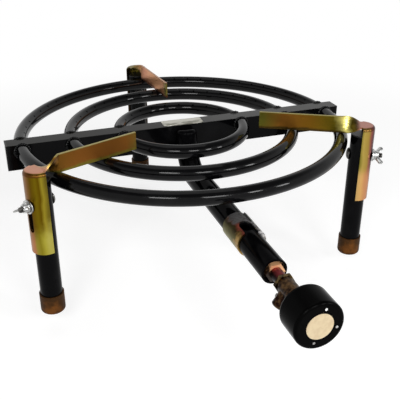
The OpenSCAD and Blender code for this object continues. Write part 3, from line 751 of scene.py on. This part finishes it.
ringSpec = {"radii": (192 * mm, 134 * mm, 75 * mm), "tubeR": 8 * mm}
weldSpec = {
    "beadR": 1.5 * mm, "stand": 0.5 * mm, "ripple": 0.16, "ripples": 19, "sway": 0.12, "sways": 3,
    "rows": 96, "columns": 12,
}


def ringWeld(spec, radius, side, half):
    # a rippled bead round the end of a half ring: radius w (1 + k sin n u + l sin m u)
    # carried round the tube's circle
    u = np.linspace(0, 2 * np.pi, spec["rows"], endpoint=False)[:, None]
    v = np.linspace(0, 2 * np.pi, spec["columns"], endpoint=False)[None, :]
    ripple = spec["ripple"] * np.sin(spec["ripples"] * u + radius / mm)
    sway = spec["sway"] * np.sin(spec["sways"] * u + side + half)
    bead = spec["beadR"] * (1 + ripple + sway)
    face = (barHigh.y - barLow.y) / 2
    reach = ringSpec["tubeR"] + spec["stand"] + bead * np.cos(v)
    centreX = side * math.sqrt(radius ** 2 - face ** 2)
    return np.stack([
        ringCentre.x + centreX + reach * np.cos(u),
        ringCentre.y + half * (face + spec["stand"] + bead * np.sin(v)),
        ringCentre.z + reach * np.sin(u) + 0 * v], -1)


welds = [
    (ringWeld(weldSpec, radius, side, half), True, True)
    for radius in ringSpec["radii"] for side in (-1, 1) for half in (-1, 1)]
buildPiece("ring_welds", welds, enamel, "burner")
print("welds: ring ends")

labelSpec = {
    "centre": (1 * mm, 0), "size": (50 * mm, 18.6 * mm), "turn": -2, "thick": 0.4 * mm, "corner": 9,
    "wave": 0.15 * mm, "waves": (260, 300), "phase": 1, "columns": 120,
    "rim": [
        (0, 0), (0.5, 0), (0.9, 0), (0.985, 0.02), (1.0, 0.3),
        (1.0, 0.7), (0.985, 0.98), (0.9, 1), (0.5, 1), (0, 1)],
    "pale": tone(222, 220, 208), "dull": tone(132, 130, 116), "dullEnd": 3 * mm, "dullFade": 6 * mm,
    "crease": (90, 320, 90), "creaseDetail": 3, "creaseFrom": (0.35, 0.6), "creaseHigh": 0.5 * mm,
    "creaseShare": 0.5, "smooth": 0.4, "rough": 0.15,
}


def labelGrid(spec):
    # a rounded rectangle |x|^n + |y|^n = 1 shrunk to the middle, with a slow wave in its height
    u = np.linspace(0, 2 * np.pi, spec["columns"], endpoint=False)[None, :]
    power = 2 / spec["corner"]
    rim = np.array(spec["rim"])
    x = np.sign(np.cos(u)) * np.abs(np.cos(u)) ** power * rim[:, :1] * spec["size"][0] / 2
    y = np.sign(np.sin(u)) * np.abs(np.sin(u)) ** power * rim[:, :1] * spec["size"][1] / 2
    alongX, alongY = spec["waves"]
    wave = spec["wave"] * (0.5 + 0.5 * np.sin(x * alongX) * np.cos(y * alongY + spec["phase"]))
    z = rim[:, 1:] * (spec["thick"] + wave)
    a = math.radians(spec["turn"])
    cx, cy = spec["centre"]
    return np.stack([
        ringCentre.x + cx + x * math.cos(a) - y * math.sin(a),
        ringCentre.y + cy + x * math.sin(a) + y * math.cos(a),
        barHigh.z + z], -1)


def paleLabel(spec):
    # bare foil label: near white, creased, with a duller stretch across its front
    finish = Finish("paleLabel")
    _, y, _ = finish.axes(finish.place(ringCentre))
    crease = finish.noise(finish.place(ringCentre, 0, spec["crease"]), 1, spec["creaseDetail"])
    dull = (spec["dullEnd"] - y).step(0, spec["dullFade"]) * crease.step(*spec["creaseFrom"])
    finish.set(
        Base_Color=finish.mix(dull, spec["pale"], spec["dull"]),
        Roughness=spec["smooth"] + spec["rough"] * crease,
        Normal=finish.bump(crease, spec["creaseHigh"], spec["creaseShare"]),
    )
    return finish.material


buildPiece("bare_label", [(labelGrid(labelSpec), False, True)], paleLabel(labelSpec), "burner")

dotSpec = {
    "radius": 1.3 * mm, "high": 0.25 * mm, "rows": 6, "columns": 20,
    "ring": 16.4 * mm, "clock": (12.5, 3.5, 6.5),
    "white": tone(236, 236, 233), "worn": tone(132, 130, 127), "fade": 17 * mm, "rough": 0.4,
}


def dotGrid(spec, hour):
    # a shallow dome on the knob's face at an hour of the clock
    t = np.linspace(0, np.pi / 2, spec["rows"])
    profile = np.stack([spec["radius"] * np.cos(t), spec["high"] * np.sin(t)], 1)
    profile = np.concatenate([[(0, 0)], profile])
    a = math.radians(90 - 30 * hour)
    origin = (gasAxis.x + spec["ring"] * math.cos(a), knobFace, gasAxis.z + spec["ring"] * math.sin(a))
    return onFrame(turned(profile, spec["columns"]), origin, (1, 0, 0), (0, 0, 1), (0, -1, 0))


def wornInk(spec):
    # white ink, greyer on the lower dots where the hand turns the knob
    finish = Finish("wornInk")
    _, _, z = finish.axes(finish.place(gasAxis))
    colour = finish.mix(z.step(-spec["fade"], spec["fade"]), spec["worn"], spec["white"])
    finish.set(Base_Color=colour, Roughness=spec["rough"])
    return finish.material


dots = [(dotGrid(dotSpec, hour), False, True) for hour in dotSpec["clock"]]
buildPiece("knob_dots", dots, wornInk(dotSpec), "knob")
print("label and knob dots")


# stage, light and camera
def seenRays(shading):
    # 1 for rays from the camera, off a mirror or through glass, else 0
    seen = shading.node("LightPath", output="Is Camera Ray")
    for name in ("Is Glossy Ray", "Is Transmission Ray"):
        seen = seen.maths("MAXIMUM", seen, shading.node("LightPath", output=name))
    return seen


# the floor lies just below the legs' full reach, so that feet that are let down stay in sight
floorSpec = {"half": 8.0, "drop": 26.5 * mm, "matt": 0.9, "lit": 0.4, "dim": 0.23, "near": 0.36, "far": 0.95}


def whiteGround(spec):
    # white to the camera and to mirrors, dimmed round the burner by what the lit matt share adds there,
    # so that the burner's shadow stays; a lit matt floor to all other rays; clear from below
    finish = Finish("whiteGround")
    x, y, _ = finish.axes(finish.place(ringCentre))
    close = 1 - (x * x + y * y).step(spec["near"] ** 2, spec["far"] ** 2)
    seen = seenRays(finish)
    lit = spec["matt"] - seen * (spec["matt"] - close * spec["lit"])
    matt = finish.node("BsdfDiffuse", inputs={"Color": lit})
    white = finish.node("Emission", inputs={"Strength": seen * (1 - close * spec["dim"])})
    above = finish.node("AddShader", inputs={0: matt, 1: white})
    under = finish.node("NewGeometry", output="Backfacing") * seen
    ground = finish.node("MixShader", inputs={0: under, 1: above, 2: finish.node("BsdfTransparent")})
    finish.put(finish.surface, ground)
    return finish.material


half, drop = floorSpec["half"], floorSpec["drop"]
corners = [(-half, -half, -drop), (half, -half, -drop), (half, half, -drop), (-half, half, -drop)]
floorMesh = bpy.data.meshes.new("floor")
floorMesh.from_pydata(corners, [], [(0, 1, 2, 3)])
floorMesh.materials.append(whiteGround(floorSpec))
floor = bpy.data.objects.new("floor", floorMesh)
scene.collection.objects.link(floor)

# the studio: white walls up to a dim ceiling for the camera and mirrors, an even glow for the rest
worldSpec = {"glow": 0.06, "wall": 1.0, "ceiling": 0.24, "fade": (0.5, 0.75)}
world = bpy.data.worlds.new("studio")
scene.world = world
studio = Shading(world, "OutputWorld")
_, _, lift = studio.axes(studio.node("TexCoord", output="Generated"))
fadeFrom, fadeTo = worldSpec["fade"]
walls = studio.node("MapRange", inputs={
    "Value": lift, "From Min": fadeFrom, "From Max": fadeTo,
    "To Min": worldSpec["wall"], "To Max": worldSpec["ceiling"]})
level = studio.node("MapRange", inputs={
    "Value": seenRays(studio), "To Min": worldSpec["glow"], "To Max": walls})
studio.put(studio.surface, studio.node("Background", inputs={"Color": (1, 1, 1), "Strength": level}))


def around(azimuth, elevation, distance):
    # a point seen from the ring centre; azimuth 0 is the front, positive to the right
    a, e = math.radians(azimuth), math.radians(elevation)
    way = Vector((math.sin(a) * math.cos(e), -math.cos(a) * math.cos(e), math.sin(e)))
    return ringCentre + way * distance


lampSpecs = {
    "leftLamp": {"azimuth": -30, "elevation": 30, "distance": 1.5, "size": (0.4, 0.32), "watts": 7.6},
    "frontLamp": {"azimuth": 2.5, "elevation": 28, "distance": 1.5, "size": (0.34, 0.32), "watts": 5.6},
    "rightLamp": {"azimuth": 27, "elevation": 22, "distance": 1.5, "size": (0.2, 0.32), "watts": 4.4},
    "sideLamp": {"azimuth": 46, "elevation": 18, "distance": 1.5, "size": (0.18, 0.32), "watts": 3.6},
    "topSoft": {"azimuth": 180, "elevation": 75, "distance": 1.6, "size": (1.2, 1.2), "watts": 5},
}
for name, spec in lampSpecs.items():
    light = bpy.data.lights.new(name, "AREA")
    light.shape = "RECTANGLE"
    light.size, light.size_y = spec["size"]
    light.energy = spec["watts"]
    lamp = bpy.data.objects.new(name, light)
    lamp.location = around(spec["azimuth"], spec["elevation"], spec["distance"])
    lamp.rotation_euler = (ringCentre - lamp.location).to_track_quat("-Z", "Y").to_euler()
    scene.collection.objects.link(lamp)

cameraSpec = {
    "lens": 60.0, "sensor": 36.0, "clip": 10 * mm,
    "azimuth": -19.58, "elevation": 26.96, "roll": 0.06, "place": (-0.23602, -0.73163, 0.29188),
}
camera = bpy.data.objects.new("camera", bpy.data.cameras.new("camera"))
camera.data.lens = cameraSpec["lens"]
camera.data.sensor_width = cameraSpec["sensor"]
camera.data.clip_start = cameraSpec["clip"]
back = around(cameraSpec["azimuth"], cameraSpec["elevation"], 1) - ringCentre
roll = Matrix.Rotation(math.radians(cameraSpec["roll"]), 3, "Z")
turn = (-back).to_track_quat("-Z", "Y").to_matrix() @ roll
camera.matrix_world = Matrix.Translation(ringCentre + Vector(cameraSpec["place"])) @ turn.to_4x4()
scene.collection.objects.link(camera)
scene.camera = camera
scene.view_settings.view_transform = "Standard"
print("stage: floor,", len(lampSpecs), "lamps and the camera")
